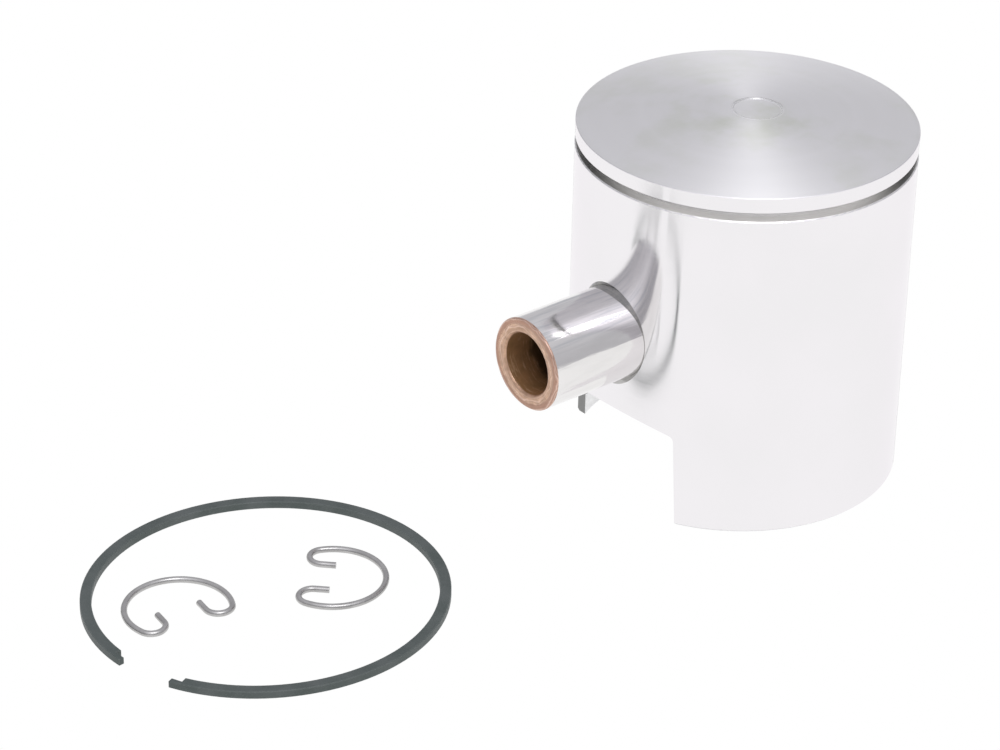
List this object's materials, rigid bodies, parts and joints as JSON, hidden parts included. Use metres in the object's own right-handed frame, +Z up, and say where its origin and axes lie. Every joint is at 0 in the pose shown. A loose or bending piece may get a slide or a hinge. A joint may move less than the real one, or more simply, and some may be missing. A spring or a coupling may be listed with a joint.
{
  "type": "two-stroke piston kit",
  "caption": "Single-ring two-stroke piston with its gudgeon pin half drawn out, an open piston ring and wire circlips laid beside it.",
  "frame": {"origin": "on the piston's axis at the foot of its skirt", "axes": "+Z up the piston's axis to the crown, +X along the gudgeon pin away from its drawn-out end, +Y towards the narrow leg of the skirt"},
  "size_m": [0.1134, 0.0507, 0.0486],
  "materials": {
    "piston_alloy": "polished turned skirt, satin turned crown",
    "peg_steel": "plain",
    "pin_steel": "ground and polished outside, copper-coloured ends and bore",
    "ring_iron": "dark phosphated",
    "spring_wire": "drawn spring wire"
  },
  "bodies": {
    "piston": {"piston": "piston_alloy", "ring_peg": "peg_steel"},
    "gudgeon_pin": {"gudgeon_pin": "pin_steel"},
    "piston_ring": {"piston_ring": "ring_iron"},
    "near_circlip": {"near_circlip": "spring_wire"},
    "far_circlip": {"far_circlip": "spring_wire"}
  },
  "joints": [
    {"name": "pin_slide", "type": "slide", "parent": "piston", "child": "gudgeon_pin", "axis": [1, 0, 0], "range_m": [-0.0228, 0.01685]},
    {"name": "ring_lift", "type": "slide", "parent": "piston", "child": "piston_ring", "axis": [0, 0, 1], "range_m": [0, 0.015]},
    {"name": "near_circlip_lift", "type": "slide", "parent": "piston", "child": "near_circlip", "axis": [0, 0, 1], "range_m": [0, 0.015]},
    {"name": "far_circlip_lift", "type": "slide", "parent": "piston", "child": "far_circlip", "axis": [0, 0, 1], "range_m": [0, 0.015]}
  ]
}
